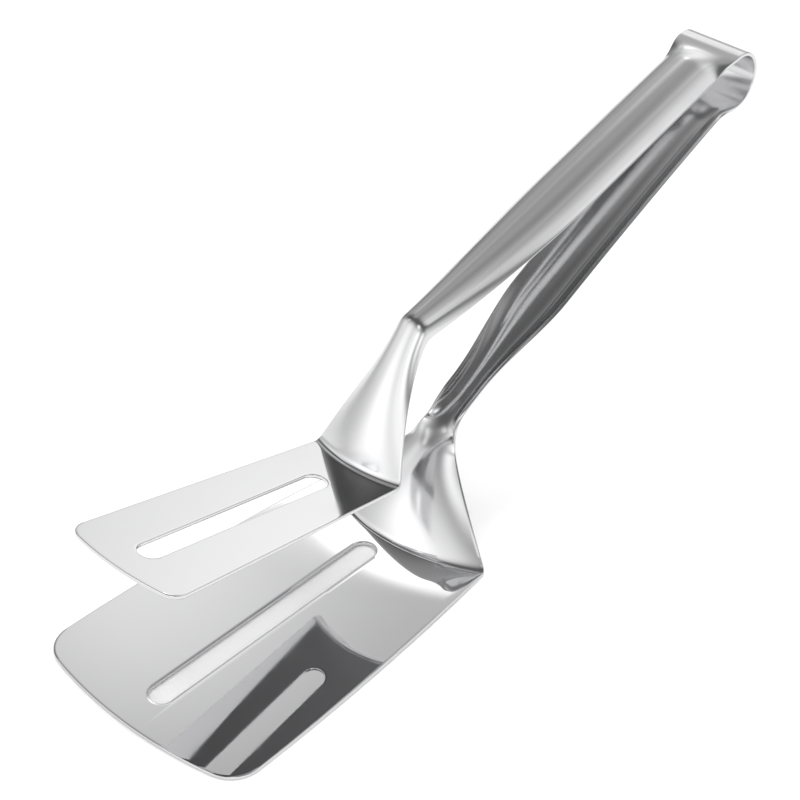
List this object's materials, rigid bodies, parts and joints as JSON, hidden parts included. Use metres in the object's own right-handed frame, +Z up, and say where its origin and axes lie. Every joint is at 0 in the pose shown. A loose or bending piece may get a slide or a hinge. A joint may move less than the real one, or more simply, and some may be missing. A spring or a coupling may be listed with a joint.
{
  "type": "steak tongs",
  "caption": "Sprung steak tongs folded from polished stainless sheet: broad slotted turning blade under a narrower slotted press blade, channel handles and a rolled spring bow.",
  "frame": {"origin": "under the middle of the tongs' overall box, on the surface that the broad lower blade lies on", "axes": "+X from the blade tips to the bow, +Z up from the resting surface, and the tongs are mirror-symmetric about Y = 0"},
  "size_m": [0.2594, 0.0756, 0.1104],
  "materials": {
    "polished_stainless": "mirror-polished stainless steel sheet, unplated, with fine rolling grain and light scuffs"
  },
  "bodies": {
    "lower_arm": {"lower_blade": "polished_stainless", "lower_neck": "polished_stainless", "lower_handle": "polished_stainless", "bow_spring": "polished_stainless"},
    "upper_arm": {"upper_blade": "polished_stainless", "upper_neck": "polished_stainless", "upper_handle": "polished_stainless"}
  },
  "joints": [
    {"name": "squeeze", "type": "hinge", "parent": "lower_arm", "child": "upper_arm", "pos_m": [0.12572, 0, 0.10271], "axis": [0, -1, 0], "range_deg": [0, 10.5], "stiffness_Nm_per_rad": 10, "springref_deg": -0.49, "deforming": ["bow_spring"]}
  ]
}
